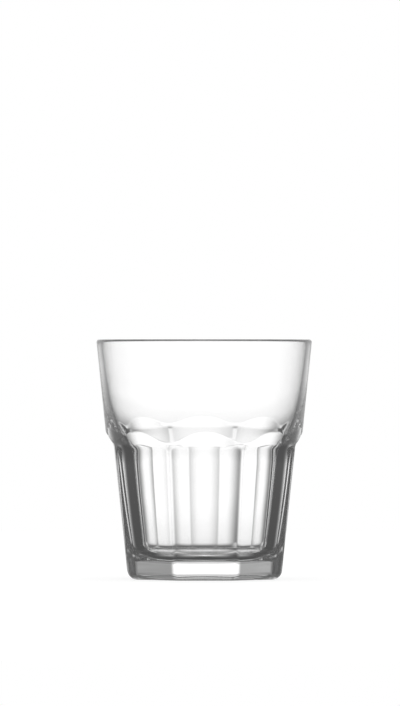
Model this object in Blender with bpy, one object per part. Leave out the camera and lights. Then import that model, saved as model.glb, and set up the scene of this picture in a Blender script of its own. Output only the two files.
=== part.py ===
"""A pressed-glass rocks tumbler: a plain conical band above eight flat panels with arched tops.

Metres, +Z up. The origin is on the axis, on the plane that the glass stands on.
The glass is one piece, lofted as rings of points: underside, foot, panels, shoulder, band, lip,
inner wall and floor follow each other along one closed skin.
"""

import math

import bmesh
import bpy

# Overall form
HEIGHT = 0.0940  # standing plane to the top of the lip
RIM_RADIUS = 0.0424  # outside of the band, carried up to the top of the lip
BAND_TAPER = 0.102  # how much the band's radius shrinks for each metre down

# Panels below the band
PANEL_COUNT = 8
FOOT_RADIUS = 0.0299  # axis to the flat of a panel, carried down to the standing plane
PANEL_TAPER = 0.105  # how much a panel leans out for each metre up
SHOULDER_HEIGHT = 0.0577  # standing plane to the top of a panel's arch
SHOULDER_SLOPE = 0.60  # how fast the ramp above a panel runs out to the band
SHOULDER_BLEND = 0.0004  # softens the hollow line between a panel and its ramp
ARCH_BLEND = 0.00025  # softens the edge between a ramp and the band
RIDGE_BLEND = 0.0010  # softens the ridge between two panels
RAMP_RIDGE_BLEND = 0.0042  # softens it between their ramps, where it fades into the band
RIDGE_FADE = 0.3  # share of the ramp's height, below and above its foot, over which this changes

# Underside
FOOT_ROUND = 0.0040  # radius where a panel turns under
RECESS_RADIUS = 0.0220  # the dished middle of the underside, inside the bearing ring
RECESS_DEPTH = 0.0008

# Walls of the cavity
LIP_WALL = 0.0020  # at the top of the lip
LIP_GROWTH = 0.15  # how much the cavity widens there for each metre up
SHOULDER_WALL = 0.0046  # level with the top of the arches, to the band's cone
SHOULDER_GROWTH = 0.33
WAIST_DROP = 0.0120  # from the top of the arches down to the cavity's waist
WAIST_WALL = 0.0042  # there, to the flat of a panel
HEEL_HEIGHT = 0.0140  # above the floor's corner
HEEL_WALL = 0.0050  # there, to the flat of a panel
HEEL_GROWTH = 0.165
FLOOR_THICKNESS = 0.0072  # on the axis, above the standing plane
FLOOR_DISH_RADIUS = 0.4000  # the floor is part of a ball of this radius
FLOOR_CORNER = 0.0075  # radius between the inner wall and the floor

# Fineness of the loft
STEPS_PER_HALF_PANEL = 5
FOOT_STEPS = 4
LIP_STEPS = 3  # on each side of its top
CORNER_STEPS = 5
FLOOR_STEPS = 4
RECESS_STEPS = 3
BELOW_SHOULDER = (0.60, 0.36, 0.22, 0.13, 0.075, 0.035, 0.012)  # rows, as shares of the way down
ABOVE_SHOULDER = (0.02, 0.09, 0.25, 0.55)  # rows, as shares of the way up to the lip
ARCH_REACH = 0.0150  # rows this close to the shoulder bend along the arches
INNER_ROWS = (0.10, 0.21, 0.31, 0.38, 0.44, 0.50, 0.55, 0.61, 0.72, 0.86)  # shares of the way down
EDGE_SEARCH_STEPS = 30  # halvings in the search for an arch's edge

GLASS_COLOUR = (0.96, 0.97, 0.97, 1.0)
GLASS_ROUGHNESS = 0.02
GLASS_INDEX = 1.52

HALF_PANEL = math.pi / PANEL_COUNT


def soft_min(a, b, width):
    """The smaller of two lengths, rounded off where they differ by less than width."""
    near = max(width - abs(a - b), 0.0) / width
    return min(a, b) - near * near * width / 4


def soft_max(a, b, width):
    """The larger of two lengths, rounded off where they differ by less than width."""
    return -soft_min(-a, -b, width)


def band_radius(z):
    """Outside of the plain cone that the band is part of."""
    return RIM_RADIUS - (HEIGHT - z) * BAND_TAPER


def panel_flat(z):
    """Axis to the flat of a panel, without its ramp."""
    return FOOT_RADIUS + z * PANEL_TAPER


def ramp_face(z):
    """Axis to the middle of the ramp above a panel, which runs out to the band at the shoulder."""
    return band_radius(SHOULDER_HEIGHT) - (SHOULDER_HEIGHT - z) * SHOULDER_SLOPE


def ramp_foot():
    """Height at which a panel ends and its ramp begins."""
    return (panel_flat(0) - ramp_face(0)) / (SHOULDER_SLOPE - PANEL_TAPER)


def ridge_blend(z):
    """How much the ridge is softened: little between panels and more between their ramps."""
    start = ramp_foot()
    way_up = (z - start) / (SHOULDER_HEIGHT - start)
    share = min(max((way_up + RIDGE_FADE) / (2 * RIDGE_FADE), 0.0), 1.0)
    return RIDGE_BLEND + (RAMP_RIDGE_BLEND - RIDGE_BLEND) * share * share * (3 - 2 * share)


def panelled_radius(turn, z):
    """The eight panels with their ramps, turn being the angle from the middle of the nearest one."""
    face = soft_max(panel_flat(z), ramp_face(z), SHOULDER_BLEND)
    own = face / math.cos(turn)
    next_one = face / math.cos(2 * HALF_PANEL - abs(turn))
    return soft_min(own, next_one, ridge_blend(z))


def outer_radius(turn, z):
    """Outside of the glass at height z: the panels, as far as they lie inside the band's cone."""
    return soft_min(panelled_radius(turn, z), band_radius(z), ARCH_BLEND)


def arch_drop(turn):
    """How far the arch's edge, where ramp and band meet, has dropped at this angle."""
    low = ramp_foot()
    high = SHOULDER_HEIGHT
    for _ in range(EDGE_SEARCH_STEPS):
        middle = (low + high) / 2
        if panelled_radius(turn, middle) < band_radius(middle):
            low = middle
        else:
            high = middle
    return SHOULDER_HEIGHT - high


def ring_turns():
    """(angle round the axis, angle from the nearest panel's middle) of a ring's points."""
    turns = []
    for panel in range(PANEL_COUNT):
        for step in range(-STEPS_PER_HALF_PANEL, STEPS_PER_HALF_PANEL):
            turn = HALF_PANEL * math.sin(step / STEPS_PER_HALF_PANEL * math.pi / 2)
            turns.append((2 * HALF_PANEL * panel + turn, turn))
    return turns


TURNS = ring_turns()


def ring(radius, z):
    """One ring of points. radius and z are numbers, or functions of the angle from a panel's middle."""
    points = []
    for angle, turn in TURNS:
        r = radius(turn) if callable(radius) else radius
        height = z(turn) if callable(z) else z
        points.append((r * math.cos(angle), r * math.sin(angle), height))
    return points


def underside_rings():
    """The dished recess, from its middle out, as a ball's cap that meets the bearing ring."""
    rings = []
    for step in range(1, RECESS_STEPS + 1):
        share = step / RECESS_STEPS
        rings.append(ring(RECESS_RADIUS * share, RECESS_DEPTH * (1 - share**2)))
    return rings


def foot_rings():
    """The round from the standing plane up to the panels, following their eight-sided outline."""
    full_turn = math.pi / 2 - math.atan(PANEL_TAPER)
    top = FOOT_ROUND * (1 - math.cos(full_turn))
    rings = []
    for step in range(FOOT_STEPS + 1):
        swing = full_turn * step / FOOT_STEPS
        inset = FOOT_ROUND * (math.sin(full_turn) - math.sin(swing))
        height = FOOT_ROUND * (1 - math.cos(swing))
        rings.append(ring(lambda turn, inset=inset: outer_radius(turn, top) - inset, height))
    return rings


def side_ring(level):
    """A ring on the outside at this level, bent along the arches near the shoulder."""
    bend = max(0.0, 1 - abs(level - SHOULDER_HEIGHT) / ARCH_REACH)

    def height(turn):
        return level - bend * arch_drop(turn)

    return ring(lambda turn: outer_radius(turn, height(turn)), height)


def cavity_stations():
    """(height, radius, growth for each metre up) of the cavity at its heel, waist, shoulder and lip."""
    waist = SHOULDER_HEIGHT - WAIST_DROP
    return (
        (HEEL_HEIGHT, panel_flat(HEEL_HEIGHT) - HEEL_WALL, HEEL_GROWTH),
        (waist, panel_flat(waist) - WAIST_WALL, PANEL_TAPER),
        (SHOULDER_HEIGHT, band_radius(SHOULDER_HEIGHT) - SHOULDER_WALL, SHOULDER_GROWTH),
        (HEIGHT, RIM_RADIUS - LIP_WALL, LIP_GROWTH),
    )


def cavity_radius(z):
    """Inside of the glass at height z: a smooth curve through the stations, straight below the heel."""
    stations = cavity_stations()
    if z < HEEL_HEIGHT:
        return stations[0][1] + (z - HEEL_HEIGHT) * HEEL_GROWTH
    for below, above in zip(stations, stations[1:]):
        if z <= above[0]:
            break
    span = above[0] - below[0]
    share = (z - below[0]) / span
    rise = share * share * (3 - 2 * share)
    lean = span * share * (1 - share) * ((1 - share) * below[2] - share * above[2])
    return below[1] + (above[1] - below[1]) * rise + lean


def lip_round():
    """(radius of the full round at the lip, radius of its centre line), touching both walls."""
    outer_stretch = math.hypot(1, BAND_TAPER)
    inner_stretch = math.hypot(1, LIP_GROWTH)
    size = LIP_WALL / (outer_stretch + inner_stretch - (LIP_GROWTH - BAND_TAPER))
    return size, band_radius(HEIGHT - size) - size * outer_stretch


def lip_rings():
    """The full round from the band over the lip to the inner wall."""
    size, centre = lip_round()
    top = math.pi / 2
    first = -math.atan(BAND_TAPER)
    last = math.pi - math.atan(LIP_GROWTH)
    shares = [step / LIP_STEPS for step in range(LIP_STEPS + 1)]
    swings = [first + (top - first) * share for share in shares]
    swings += [top + (last - top) * share for share in shares[1:]]
    return [
        ring(centre + size * math.cos(swing), HEIGHT - size + size * math.sin(swing))
        for swing in swings
    ]


def floor_corner():
    """Middle (radius, height) of the round that touches the wall below the heel and the dished floor."""
    ball = FLOOR_THICKNESS + FLOOR_DISH_RADIUS
    reach = FLOOR_DISH_RADIUS - FLOOR_CORNER
    offset = cavity_radius(0) - FLOOR_CORNER * math.hypot(1, HEEL_GROWTH)
    # offset + HEEL_GROWTH * z and z lie at the distance reach from the ball's middle
    a = 1 + HEEL_GROWTH**2
    b = offset * HEEL_GROWTH - ball
    c = offset**2 + ball**2 - reach**2
    z = (-b - math.sqrt(b * b - a * c)) / a
    return offset + HEEL_GROWTH * z, z


def cavity_rings():
    """The inner wall from below the lip, round the corner and in along the floor."""
    corner_radius, corner_z = floor_corner()
    ball = FLOOR_THICKNESS + FLOOR_DISH_RADIUS
    wall_lean = math.atan(HEEL_GROWTH)
    floor_lean = math.atan2(corner_radius, ball - corner_z)
    top = HEIGHT - lip_round()[0]
    bottom = corner_z - FLOOR_CORNER * math.sin(wall_lean)

    rings = []
    for share in INNER_ROWS:
        z = top + (bottom - top) * share
        rings.append(ring(cavity_radius(z), z))
    for step in range(CORNER_STEPS + 1):
        swing = wall_lean + (math.pi / 2 - floor_lean - wall_lean) * step / CORNER_STEPS
        rings.append(
            ring(
                corner_radius + FLOOR_CORNER * math.cos(swing),
                corner_z - FLOOR_CORNER * math.sin(swing),
            )
        )
    for step in range(FLOOR_STEPS - 1, 0, -1):
        swing = floor_lean * step / FLOOR_STEPS
        rings.append(
            ring(FLOOR_DISH_RADIUS * math.sin(swing), ball - FLOOR_DISH_RADIUS * math.cos(swing))
        )
    return rings


def skin_rings():
    """Every ring of the glass in order: underside, outside, lip, inside and floor."""
    foot_top = FOOT_ROUND * (1 - math.cos(math.pi / 2 - math.atan(PANEL_TAPER)))
    lip_bottom = HEIGHT - lip_round()[0]
    rings = underside_rings() + foot_rings()
    for share in BELOW_SHOULDER:
        rings.append(side_ring(SHOULDER_HEIGHT - (SHOULDER_HEIGHT - foot_top) * share))
    rings.append(side_ring(SHOULDER_HEIGHT))
    for share in ABOVE_SHOULDER:
        rings.append(side_ring(SHOULDER_HEIGHT + (lip_bottom - SHOULDER_HEIGHT) * share))
    return rings + lip_rings() + cavity_rings()


def loft(rings, first_pole, last_pole):
    """A closed mesh through the rings, with a point on the axis closing each end."""
    bm = bmesh.new()
    rows = [[bm.verts.new(point) for point in points] for points in rings]
    count = len(TURNS)
    for lower, upper in zip(rows, rows[1:]):
        for i in range(count):
            j = (i + 1) % count
            bm.faces.new((lower[i], lower[j], upper[j], upper[i]))
    for row, pole in ((rows[0], first_pole), (rows[-1], last_pole)):
        tip = bm.verts.new(pole)
        for i in range(count):
            j = (i + 1) % count
            corners = (row[j], row[i], tip) if row is rows[0] else (row[i], row[j], tip)
            bm.faces.new(corners)
    bmesh.ops.recalc_face_normals(bm, faces=bm.faces)
    return bm


def glass_material():
    """Clear soda-lime glass."""
    material = bpy.data.materials.new("clear_glass")
    material.use_nodes = True
    shader = material.node_tree.nodes["Principled BSDF"]
    shader.inputs["Base Color"].default_value = GLASS_COLOUR
    shader.inputs["Roughness"].default_value = GLASS_ROUGHNESS
    shader.inputs["Metallic"].default_value = 0.0
    shader.inputs["IOR"].default_value = GLASS_INDEX
    shader.inputs["Transmission Weight"].default_value = 1.0
    return material


def make_tumbler():
    """The whole glass as one object."""
    bm = loft(skin_rings(), (0, 0, RECESS_DEPTH), (0, 0, FLOOR_THICKNESS))
    mesh = bpy.data.meshes.new("tumbler")
    bm.to_mesh(mesh)
    bm.free()
    mesh.materials.append(glass_material())
    mesh.shade_smooth()
    tumbler = bpy.data.objects.new("tumbler", mesh)
    bpy.context.scene.collection.objects.link(tumbler)
    return tumbler


def main():
    for old in list(bpy.data.objects):
        bpy.data.objects.remove(old)
    make_tumbler()


main()
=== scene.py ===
"""Looks of a pressed-glass rocks tumbler: one clear body on a white sheet, lit as for a catalogue picture.

Metres, +Z up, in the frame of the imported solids. The camera looks along +Y.
"""

import math

import bpy
import numpy as np
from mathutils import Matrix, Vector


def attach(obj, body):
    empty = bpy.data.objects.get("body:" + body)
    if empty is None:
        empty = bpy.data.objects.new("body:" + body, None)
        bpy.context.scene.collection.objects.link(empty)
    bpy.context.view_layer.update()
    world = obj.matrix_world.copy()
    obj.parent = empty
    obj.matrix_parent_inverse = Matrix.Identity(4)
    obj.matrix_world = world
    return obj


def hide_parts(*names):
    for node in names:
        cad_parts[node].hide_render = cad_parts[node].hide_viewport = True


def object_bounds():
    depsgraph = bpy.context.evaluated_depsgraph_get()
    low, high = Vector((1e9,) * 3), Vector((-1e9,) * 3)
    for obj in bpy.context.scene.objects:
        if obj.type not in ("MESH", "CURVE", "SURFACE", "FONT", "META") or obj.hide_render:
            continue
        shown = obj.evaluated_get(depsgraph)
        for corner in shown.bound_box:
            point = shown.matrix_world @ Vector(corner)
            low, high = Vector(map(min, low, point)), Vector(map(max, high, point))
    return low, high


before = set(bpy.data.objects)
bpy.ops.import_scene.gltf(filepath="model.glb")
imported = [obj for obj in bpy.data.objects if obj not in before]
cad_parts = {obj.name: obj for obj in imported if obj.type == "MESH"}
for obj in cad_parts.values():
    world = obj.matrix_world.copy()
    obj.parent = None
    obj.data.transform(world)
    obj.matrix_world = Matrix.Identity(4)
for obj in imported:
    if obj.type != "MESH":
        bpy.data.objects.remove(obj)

cad_low, cad_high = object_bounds()

# Overall form
HEIGHT = cad_high.z  # standing plane to the top of the lip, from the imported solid
RIM_RADIUS = 0.0424  # outside of the band, carried up to the top of the lip
BAND_TAPER = 0.102  # how much the band's radius shrinks for each metre down

# Panels below the band
PANEL_COUNT = 8
HALF_PANEL = math.pi / PANEL_COUNT  # angle from a panel's middle to its ridge
FOOT_RADIUS = 0.0299  # axis to the flat of a panel, carried down to the standing plane
PANEL_TAPER = 0.105  # how much a panel leans out for each metre up
SHOULDER_HEIGHT = 0.0577  # standing plane to the top of a panel's arch
SHOULDER_SLOPE = 0.60  # how fast the ramp above a panel runs out to the band
SHOULDER_BLEND = 0.0004  # softens the hollow line between a panel and its ramp
ARCH_BLEND = 0.00025  # softens the edge between a ramp and the band
RIDGE_BLEND = 0.0010  # softens the ridge between two panels
RAMP_RIDGE_BLEND = 0.0042  # softens it between their ramps, where it fades into the band
RIDGE_FADE = 0.3  # share of the ramp's height, below and above its foot, over which this changes

# Underside
FOOT_ROUND = 0.0040  # radius where a panel turns under
RECESS_RADIUS = 0.0220  # the dished middle of the underside, inside the bearing ring
RECESS_DEPTH = 0.0008

# Walls of the cavity
LIP_WALL = 0.0020  # at the top of the lip
LIP_GROWTH = 0.15  # how much the cavity widens there for each metre up
SHOULDER_WALL = 0.0046  # level with the top of the arches, to the band's cone
SHOULDER_GROWTH = 0.33
WAIST_DROP = 0.0120  # from the top of the arches down to the cavity's waist
WAIST_WALL = 0.0042  # there, to the flat of a panel
HEEL_HEIGHT = 0.0140  # above the floor's corner
HEEL_WALL = 0.0050  # there, to the flat of a panel
HEEL_GROWTH = 0.165
FLOOR_THICKNESS = 0.0072  # on the axis, above the standing plane
FLOOR_DISH_RADIUS = 0.4000  # the floor is part of a ball of this radius
FLOOR_CORNER = 0.0075  # radius between the inner wall and the floor

# Fineness of the surface
STEPS_PER_HALF_PANEL = 29
UNDERSIDE_STEPS = 10
FOOT_STEPS = 12
SIDE_STRETCHES = ((-0.016, 14), (-0.002, 28), (0.002, 16), (0.010, 8))  # end from the shoulder, steps
BAND_STEPS = 10  # from the last of these to the lip
ARCH_REACH = 0.0150  # rows this close to the shoulder bend along the arches
EDGE_SEARCH_STEPS = 40  # halvings in the search for an arch's edge
LIP_STEPS = 24
WALL_STEPS = 64
CORNER_STEPS = 16
FLOOR_STEPS = 12

# Finish of the glass. A pattern is its noise cells per metre, its finer layers, and the noise at
# which it begins and is full.
GLASS_INDEX = 1.52
CLOUD_TINT = 0.012  # share of light that the thickest cloud takes away
CLOUD_PATTERN = (45, 2, 0.35, 0.75)
HAZE_ROUGHNESS = 0.05
HAZE_PATTERN = (60, 3, 0.5, 0.75)
SCUFF_ROUGHNESS = 0.35
SCUFF_PATTERN = (900, 4, 0.35, 0.65)
SCUFF_EDGE = 0.0004  # the scuffs fade out over this length, inwards and upwards from the bearing ring
RIPPLE_HEIGHT = 0.00004
RIPPLE_SCALE = 80  # noise cells per metre
RIPPLE_DETAIL = 1

# Studio, with angles in degrees. A bearing is counted from straight ahead, to both sides. A screen's
# heights are where it begins, is white, begins to fade and ends. An edge is where a fade starts and ends.
LEVEL = (-27, -12, 9, 17)
SCREENS = ((0, LEVEL), (90, LEVEL), (180, LEVEL), (45, (-50, -38, -18, -11)), (135, (-42, -30, -9, 1)))
SCREEN_EDGE = (4, 34)  # to each side of a screen's bearing
SCREEN_WHITE = 1.25  # makes up for what the glass's surfaces turn away
GAP_GREY = 0.23  # between the screens
BROAD_HEIGHTS = (-33, 7, 9, 49)
BROAD_EDGE = (4, 42)
FRONT_FLOOR_EDGE = (20, 215)  # comes in slowly towards the camera, and never quite all the way
FRONT_FLOOR_HEIGHTS = (-65, -40)  # fades out upwards between these
FRONT_FLOOR_WHITE = 1.6
OUTSIDE_EDGE = (60, 85)
OUTSIDE_WHITE = 0.65
ROOM_DARK = 0.10  # the rest of what the glass mirrors

# White sheet under the glass
SHEET_RADIUS = 0.8
SHEET_SIDES = 128
SHEET_DROP = 0.0001  # keeps it just clear of the bearing ring
SHEET_PAINTED_SHADOW = 0.26  # painted shadow: how much of the light that leaves the glass it takes away close by, most at the middle and none at the sheet's edge
SHEET_DULL = 0.25  # shows the glass's shadow
SHEET_GLOW = 0.8  # brings the sheet up to white

# Camera, from the photograph's frame of 400 by 706 pixels
FRAME_WIDTH = 400
FRAME_HEIGHT = 706
PIXEL = 0.000393  # what one pixel of the picture measures at the glass
AXIS_PIXEL = 204.2  # column of the glass's axis
STAND_PIXEL = 578.7  # row of the plane it stands on, at the axis
LENS = 390.0  # millimetres, on a sensor of 36 along the picture's long side
SENSOR = 36.0
CAMERA_TURN = math.radians(-1.2)
VIEW_REACH = 20  # farthest that the camera sees

MOST_BOUNCES = 64  # light runs on until it leaves the thick glass


def soft_min(a, b, width):
    """The smaller of a and b, less a parabola of depth width / 4 where they differ by less than width."""
    near = np.maximum(width - np.abs(a - b), 0) / width
    return np.minimum(a, b) - near**2 * width / 4


def soft_max(a, b, width):
    """The larger of a and b, rounded in the same way."""
    return -soft_min(-a, -b, width)


def band_radius(z):
    """A cone: the rim's radius less the taper times the way down from the lip."""
    return RIM_RADIUS - (HEIGHT - z) * BAND_TAPER


def panel_flat(z):
    """A plane that leans out: the foot's radius plus the taper times the height."""
    return FOOT_RADIUS + z * PANEL_TAPER


def ramp_face(z):
    """A steeper plane above each panel: the band's radius at the shoulder less slope times the way down."""
    return band_radius(SHOULDER_HEIGHT) - (SHOULDER_HEIGHT - z) * SHOULDER_SLOPE


RAMP_FOOT = (panel_flat(0) - ramp_face(0)) / (SHOULDER_SLOPE - PANEL_TAPER)


def ridge_blend(z):
    """Softness of the ridges: an S-curve from the panels' to the ramps', around the foot of the ramps."""
    way_up = (z - RAMP_FOOT) / (SHOULDER_HEIGHT - RAMP_FOOT)
    share = np.clip((way_up + RIDGE_FADE) / (2 * RIDGE_FADE), 0, 1)
    return RIDGE_BLEND + (RAMP_RIDGE_BLEND - RIDGE_BLEND) * share**2 * (3 - 2 * share)


def panelled_radius(turn, z):
    """Panels and ramps at the angle turn from a panel's middle: the nearer of two leaning planes.

    A plane at the distance d from the axis lies at d / cos(turn).
    """
    face = soft_max(panel_flat(z), ramp_face(z), SHOULDER_BLEND)
    neighbour = face / np.cos(2 * HALF_PANEL - np.abs(turn))
    return soft_min(face / np.cos(turn), neighbour, ridge_blend(z))


def outer_radius(turn, z):
    """Outside of the glass: the panels, as far as they lie inside the band's cone."""
    return soft_min(panelled_radius(turn, z), band_radius(z), ARCH_BLEND)


def arch_drop(turn):
    """How far the edge of an arch lies below its top, found by halving the ramp's height many times."""
    low = np.full_like(turn, RAMP_FOOT)
    high = np.full_like(turn, SHOULDER_HEIGHT)
    for _ in range(EDGE_SEARCH_STEPS):
        middle = (low + high) / 2
        inside = panelled_radius(turn, middle) < band_radius(middle)
        low = np.where(inside, middle, low)
        high = np.where(inside, high, middle)
    return SHOULDER_HEIGHT - high


def cavity_radius(z):
    """Inside of the glass: cubic curves through the heel, waist, shoulder and lip, straight below the heel.

    Between two stations the radius is their S-curve mix plus a lean that gives the growth at each end.
    """
    waist = SHOULDER_HEIGHT - WAIST_DROP
    heights = np.array([HEEL_HEIGHT, waist, SHOULDER_HEIGHT, HEIGHT])
    growths = np.array([HEEL_GROWTH, PANEL_TAPER, SHOULDER_GROWTH, LIP_GROWTH])
    radii = np.array(
        [
            panel_flat(HEEL_HEIGHT) - HEEL_WALL,
            panel_flat(waist) - WAIST_WALL,
            band_radius(SHOULDER_HEIGHT) - SHOULDER_WALL,
            RIM_RADIUS - LIP_WALL,
        ]
    )
    part = np.clip(np.searchsorted(heights, z) - 1, 0, 2)
    span = heights[part + 1] - heights[part]
    share = (z - heights[part]) / span
    rise = share**2 * (3 - 2 * share)
    lean = span * share * (1 - share) * ((1 - share) * growths[part] - share * growths[part + 1])
    curve = radii[part] * (1 - rise) + radii[part + 1] * rise + lean
    return np.where(z < HEEL_HEIGHT, radii[0] + (z - HEEL_HEIGHT) * HEEL_GROWTH, curve)


def even(start, stop, steps):
    """Even steps from start, which is left out, to stop, as a column."""
    return np.linspace(start, stop, steps + 1)[1:, None]


def panel_turns():
    """Angles round the axis and from the nearest panel's middle: halfway from even steps to a sine's.

    The sine draws them closer together towards the ridges.
    """
    share = np.arange(-STEPS_PER_HALF_PANEL, STEPS_PER_HALF_PANEL) / STEPS_PER_HALF_PANEL
    turn = HALF_PANEL * (share + np.sin(share * math.pi / 2)) / 2
    middles = 2 * HALF_PANEL * np.arange(PANEL_COUNT)
    angles = (middles[:, None] + turn[None, :]).ravel()
    return angles, np.tile(turn, PANEL_COUNT)


def underside_rows(turn):
    """A ball's cap that rises by RECESS_DEPTH at the axis: height falls with the square of the radius."""
    share = even(0, 1, UNDERSIDE_STEPS)
    flat = np.zeros_like(turn)
    return RECESS_RADIUS * share + flat, RECESS_DEPTH * (1 - share**2) + flat


def foot_rows(turn):
    """A quarter round under each panel: the outline at its top, drawn in by a circle's sine."""
    whole = math.pi / 2 - math.atan(PANEL_TAPER)
    top = FOOT_ROUND * (1 - math.cos(whole))
    swing = np.linspace(0, whole, FOOT_STEPS + 1)[:, None]
    radius = outer_radius(turn, top) - FOOT_ROUND * (math.sin(whole) - np.sin(swing))
    return radius, FOOT_ROUND * (1 - np.cos(swing)) + 0 * turn


def side_rows(turn, lip_bottom):
    """Rows up the outside, bent along the arches near the shoulder and level elsewhere."""
    stretches = [(SHOULDER_HEIGHT + end, steps) for end, steps in SIDE_STRETCHES]
    stretches.append((lip_bottom, BAND_STEPS))
    start = FOOT_ROUND * (1 - math.sin(math.atan(PANEL_TAPER)))
    levels = []
    for end, steps in stretches:
        levels.append(even(start, end, steps))
        start = end
    levels = np.concatenate(levels)[:-1]
    bend = np.maximum(0, 1 - np.abs(levels - SHOULDER_HEIGHT) / ARCH_REACH)
    height = levels - bend * arch_drop(turn)
    return outer_radius(turn, height), height


def lip_circle():
    """Radius of the full round at the lip and of the ring its middle follows: it touches both walls."""
    outer_stretch = math.hypot(1, BAND_TAPER)
    size = LIP_WALL / (outer_stretch + math.hypot(1, LIP_GROWTH) - (LIP_GROWTH - BAND_TAPER))
    return size, band_radius(HEIGHT - size) - size * outer_stretch


def lip_rows(turn):
    """The full round over the lip, as a circle swung from the band's normal to the inner wall's."""
    size, centre = lip_circle()
    first = -math.atan(BAND_TAPER)
    last = math.pi - math.atan(LIP_GROWTH)
    swing = np.linspace(first, last, LIP_STEPS + 1)[:, None]
    return centre + size * np.cos(swing) + 0 * turn, HEIGHT - size + size * np.sin(swing) + 0 * turn


def floor_corner():
    """Middle of the round that touches the wall's cone and the floor's ball: a quadratic in its height."""
    ball = FLOOR_THICKNESS + FLOOR_DISH_RADIUS
    offset = float(cavity_radius(0.0)) - FLOOR_CORNER * math.hypot(1, HEEL_GROWTH)
    a = 1 + HEEL_GROWTH**2
    b = offset * HEEL_GROWTH - ball
    c = offset**2 + ball**2 - (FLOOR_DISH_RADIUS - FLOOR_CORNER) ** 2
    z = (-b - math.sqrt(b * b - a * c)) / a
    return offset + HEEL_GROWTH * z, z


def cavity_rows(turn):
    """Down the inner wall, round the corner as a circle's arc, and in along the floor as a ball's arc."""
    size, _ = lip_circle()
    corner_radius, corner_z = floor_corner()
    ball = FLOOR_THICKNESS + FLOOR_DISH_RADIUS
    wall_lean = math.atan(HEEL_GROWTH)
    floor_lean = math.atan2(corner_radius, ball - corner_z)
    top = HEIGHT - size + size * math.sin(math.atan(LIP_GROWTH))
    wall = even(top, corner_z - FLOOR_CORNER * math.sin(wall_lean), WALL_STEPS)[:-1]
    swing = np.linspace(wall_lean, math.pi / 2 - floor_lean, CORNER_STEPS + 1)[:, None]
    arc = even(floor_lean, 0, FLOOR_STEPS)[:-1]
    radius = np.concatenate(
        [
            cavity_radius(wall),
            corner_radius + FLOOR_CORNER * np.cos(swing),
            FLOOR_DISH_RADIUS * np.sin(arc),
        ]
    )
    height = np.concatenate(
        [
            wall,
            corner_z - FLOOR_CORNER * np.sin(swing),
            ball - FLOOR_DISH_RADIUS * np.cos(arc),
        ]
    )
    return radius + 0 * turn, height + 0 * turn


def tumbler_surface():
    """Points of the whole skin: rows from the underside, up the outside, over the lip and down the inside.

    Each row is a ring; a point at (radius, angle, height) lies at radius times (cos, sin) of its angle.
    """
    angle, turn = panel_turns()
    size, _ = lip_circle()
    lip_bottom = HEIGHT - size - size * math.sin(math.atan(BAND_TAPER))
    sections = [
        underside_rows(turn),
        foot_rows(turn),
        side_rows(turn, lip_bottom),
        lip_rows(turn),
        cavity_rows(turn),
    ]
    radius = np.concatenate([section[0] for section in sections])
    height = np.concatenate([section[1] for section in sections])
    return np.stack([radius * np.cos(angle), radius * np.sin(angle), height], axis=-1)


def closed_mesh(name, rows, first_pole, last_pole):
    """A mesh of four-sided faces between neighbouring rows, with a fan of triangles at each end."""
    count, around = rows.shape[:2]
    index = np.arange(count * around).reshape(count, around)
    following = np.roll(index, -1, axis=1)
    quads = np.stack([index[:-1], following[:-1], following[1:], index[1:]], axis=-1).reshape(-1, 4)
    first = np.full(around, count * around)
    last = first + 1
    fans = np.concatenate(
        [
            np.stack([following[0], index[0], first], axis=-1),
            np.stack([index[-1], following[-1], last], axis=-1),
        ]
    )
    points = np.concatenate([rows.reshape(-1, 3), [first_pole], [last_pole]])
    corners = np.concatenate([quads.ravel(), fans.ravel()])
    totals = np.concatenate([np.full(len(quads), 4), np.full(len(fans), 3)])
    mesh = bpy.data.meshes.new(name)
    mesh.vertices.add(len(points))
    mesh.vertices.foreach_set("co", points.astype(np.float32).ravel())
    mesh.loops.add(len(corners))
    mesh.loops.foreach_set("vertex_index", corners.astype(np.int32))
    mesh.polygons.add(len(totals))
    mesh.polygons.foreach_set("loop_start", (np.cumsum(totals) - totals).astype(np.int32))
    mesh.polygons.foreach_set("use_smooth", np.ones(len(totals), dtype=bool))
    mesh.update(calc_edges=True)
    mesh.validate()
    return mesh


class Value:
    """A number in a node tree. Sums written with it add Math nodes, and node() adds any other node."""

    def __init__(self, tree, socket=None):
        self.tree = tree
        self.socket = socket

    def node(self, kind, settings=None, inputs=None):
        """A new node: its settings first, then its sockets by name or number, as values or links."""
        made = self.tree.nodes.new(kind)
        for name, value in (settings or {}).items():
            setattr(made, name, value)
        for name, value in (inputs or {}).items():
            socket = made.inputs[name]
            if isinstance(value, Value):
                self.tree.links.new(value.socket, socket)
            else:
                socket.default_value = value
        return made

    def out(self, made, name=0):
        """One output of a node, ready for sums."""
        return Value(self.tree, made.outputs[name])

    def sum(self, operation, *values):
        """One Math node's result."""
        made = self.node("ShaderNodeMath", {"operation": operation}, dict(enumerate(values)))
        return self.out(made)

    def __add__(self, other):
        return self.sum("ADD", self, other)

    def __radd__(self, other):
        return self.sum("ADD", other, self)

    def __sub__(self, other):
        return self.sum("SUBTRACT", self, other)

    def __rsub__(self, other):
        return self.sum("SUBTRACT", other, self)

    def __mul__(self, other):
        return self.sum("MULTIPLY", self, other)

    def __rmul__(self, other):
        return self.sum("MULTIPLY", other, self)

    def __truediv__(self, other):
        return self.sum("DIVIDE", self, other)

    def step(self, low, high):
        """0 below low, 1 above high, and an S-curve between them."""
        made = self.node(
            "ShaderNodeMapRange",
            {"interpolation_type": "SMOOTHSTEP"},
            {"Value": self, "From Min": low, "From Max": high},
        )
        return self.out(made)


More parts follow.
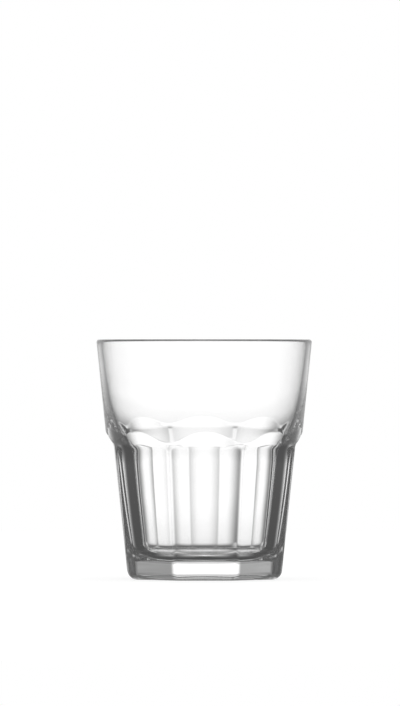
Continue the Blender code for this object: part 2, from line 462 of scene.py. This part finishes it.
def glass_material():
    """Clear soda-lime glass: faint clouds, a fire-polished ripple, a washed haze and a scuffed foot."""
    material = bpy.data.materials.new("clear_glass")
    material.use_nodes = True
    tree = material.node_tree
    tree.nodes.clear()
    v = Value(tree)
    place = v.out(v.node("ShaderNodeTexCoord"), "Object")
    way = v.node("ShaderNodeSeparateXYZ", None, {0: place})
    x, y, z = (v.out(way, name) for name in "XYZ")
    radius = v.sum("SQRT", x * x + y * y)

    def noise(scale, detail):
        inputs = {"Vector": place, "Scale": scale, "Detail": detail}
        return v.out(v.node("ShaderNodeTexNoise", None, inputs))

    def patches(scale, detail, begins, full):
        return noise(scale, detail).step(begins, full)

    clear = 1 - CLOUD_TINT * patches(*CLOUD_PATTERN)
    colour = v.node("ShaderNodeCombineColor", None, {0: clear, 1: clear, 2: clear})
    haze = HAZE_ROUGHNESS * patches(*HAZE_PATTERN)
    on_ring = radius.step(RECESS_RADIUS - SCUFF_EDGE, RECESS_RADIUS) * (1 - z.step(0, SCUFF_EDGE))
    scuff = SCUFF_ROUGHNESS * on_ring * patches(*SCUFF_PATTERN)
    ripple = v.node(
        "ShaderNodeBump",
        None,
        {"Strength": 1.0, "Distance": RIPPLE_HEIGHT, "Height": noise(RIPPLE_SCALE, RIPPLE_DETAIL)},
    )
    shader = v.node(
        "ShaderNodeBsdfPrincipled",
        None,
        {
            "Base Color": v.out(colour),
            "Roughness": v.sum("MAXIMUM", haze, scuff),
            "Normal": v.out(ripple),
            "IOR": GLASS_INDEX,
            "Transmission Weight": 1.0,
        },
    )
    out = v.node("ShaderNodeOutputMaterial")
    tree.links.new(shader.outputs[0], out.inputs["Surface"])
    return material


def make_tumbler():
    """The glass, in place of its solid."""
    mesh = closed_mesh(
        "tumbler_glass", tumbler_surface(), (0, 0, RECESS_DEPTH), (0, 0, FLOOR_THICKNESS)
    )
    mesh.materials.append(glass_material())
    glass = bpy.data.objects.new("tumbler_glass", mesh)
    bpy.context.scene.collection.objects.link(glass)
    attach(glass, "root")
    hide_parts("tumbler")
    return glass


def make_world():
    """A white room for the camera and the floor; the glass looks out at white screens with dark gaps.

    Rays that only pass through the glass see screens ahead, beside and behind it, and low in the corners.
    Rays that it has mirrored inside see one broad screen ahead, and the pale floor in front.
    Rays that it mirrors on its outside see a grey wall ahead.
    """
    world = bpy.data.worlds.new("studio")
    bpy.context.scene.world = world
    world.use_nodes = True
    tree = world.node_tree
    tree.nodes.clear()
    v = Value(tree)
    way = v.node("ShaderNodeSeparateXYZ", None, {0: v.out(v.node("ShaderNodeTexCoord"), "Generated")})
    x, y, z = (v.out(way, name) for name in "XYZ")
    bearing = v.sum("ARCTAN2", v.sum("ABSOLUTE", x), y)
    rise = v.sum("ARCSINE", z)

    def past(angle, start, end):
        return angle.step(math.radians(start), math.radians(end))

    def between(begins, white, fades, ends):
        return past(rise, begins, white) * (1 - past(rise, fades, ends))

    passed = 0
    for middle, heights in SCREENS:
        off = v.sum("ABSOLUTE", bearing - math.radians(middle))
        passed = v.sum("MAXIMUM", passed, (1 - past(off, *SCREEN_EDGE)) * between(*heights))
    passed = GAP_GREY + (SCREEN_WHITE - GAP_GREY) * passed
    broad = (1 - past(bearing, *BROAD_EDGE)) * between(*BROAD_HEIGHTS)
    front_floor = past(bearing, *FRONT_FLOOR_EDGE) * (1 - past(rise, *FRONT_FLOOR_HEIGHTS))
    inside = ROOM_DARK + v.sum("MAXIMUM", broad, FRONT_FLOOR_WHITE * front_floor) * (1 - ROOM_DARK)
    outside = ROOM_DARK + (1 - past(bearing, *OUTSIDE_EDGE)) * (OUTSIDE_WHITE - ROOM_DARK)

    path = v.node("ShaderNodeLightPath")
    entered = v.sum("MINIMUM", v.out(path, "Transmission Depth"), 1)
    mirrored = outside + entered * (inside - outside)
    through = v.sum("MAXIMUM", v.out(path, "Is Transmission Ray"), v.out(path, "Is Glossy Ray"))
    turned = v.sum("MINIMUM", v.out(path, "Glossy Depth"), 1)
    seen = passed + turned * (mirrored - passed)
    strength = through * seen + (1 - through)
    back = v.node("ShaderNodeBackground", None, {"Color": (1, 1, 1, 1), "Strength": strength})
    out = v.node("ShaderNodeOutputWorld")
    tree.links.new(back.outputs[0], out.inputs["Surface"])


def make_floor():
    """A plain white sheet under the glass, which the glass sees as clear, with a painted shadow that greys
    it a little close by.
    """
    bpy.ops.mesh.primitive_circle_add(
        vertices=SHEET_SIDES, radius=SHEET_RADIUS, fill_type="NGON", location=(0, 0, -SHEET_DROP)
    )
    floor = bpy.context.object
    floor.name = "white_sheet"
    material = bpy.data.materials.new("white_sheet")
    material.use_nodes = True
    tree = material.node_tree
    tree.nodes.clear()
    v = Value(tree)
    way = v.node("ShaderNodeSeparateXYZ", None, {0: v.out(v.node("ShaderNodeTexCoord"), "Object")})
    x, y = (v.out(way, name) for name in "XY")
    # painted shadow: rays through the glass see the sheet darker towards the middle, in place of the
    # glass's own shadow
    near = 1 - v.sum("SQRT", x * x + y * y) / SHEET_RADIUS
    painted_shadow_tint = 1 - SHEET_PAINTED_SHADOW * (near * near)
    grey = v.node("ShaderNodeCombineColor", None, {0: painted_shadow_tint, 1: painted_shadow_tint, 2: painted_shadow_tint})
    clear = v.node("ShaderNodeBsdfTransparent", None, {"Color": v.out(grey)})
    diffuse = v.node("ShaderNodeBsdfDiffuse", None, {"Color": (SHEET_DULL, SHEET_DULL, SHEET_DULL, 1)})
    glow = v.node("ShaderNodeEmission", None, {"Strength": SHEET_GLOW})
    white = v.node("ShaderNodeAddShader")
    path = v.node("ShaderNodeLightPath")
    sheet = v.node("ShaderNodeMixShader", None, {"Fac": v.out(path, "Is Camera Ray")})
    out = v.node("ShaderNodeOutputMaterial")
    tree.links.new(diffuse.outputs[0], white.inputs[0])
    tree.links.new(glow.outputs[0], white.inputs[1])
    tree.links.new(clear.outputs[0], sheet.inputs[1])
    tree.links.new(white.outputs[0], sheet.inputs[2])
    tree.links.new(sheet.outputs[0], out.inputs["Surface"])
    floor.data.materials.append(material)


def make_camera():
    """A level camera far off, turned a little round the glass and placed by its axis and standing plane."""
    data = bpy.data.cameras.new("camera")
    data.lens = LENS
    data.sensor_width = SENSOR
    data.clip_end = VIEW_REACH
    distance = LENS / SENSOR * FRAME_HEIGHT * PIXEL
    aside = (FRAME_WIDTH / 2 - AXIS_PIXEL) * PIXEL
    camera = bpy.data.objects.new("camera", data)
    back = np.array([math.sin(CAMERA_TURN), -math.cos(CAMERA_TURN), 0.0])
    right = np.array([math.cos(CAMERA_TURN), math.sin(CAMERA_TURN), 0.0])
    height = (STAND_PIXEL - FRAME_HEIGHT / 2) * PIXEL
    camera.location = tuple(back * distance + right * aside + np.array([0, 0, height]))
    camera.rotation_euler = (math.pi / 2, 0, CAMERA_TURN)
    bpy.context.scene.collection.objects.link(camera)
    bpy.context.scene.camera = camera


make_tumbler()
make_world()
make_floor()
make_camera()
bpy.context.scene.view_settings.view_transform = "Standard"
light = bpy.context.scene.cycles
light.max_bounces = MOST_BOUNCES
light.transmission_bounces = MOST_BOUNCES
light.glossy_bounces = MOST_BOUNCES
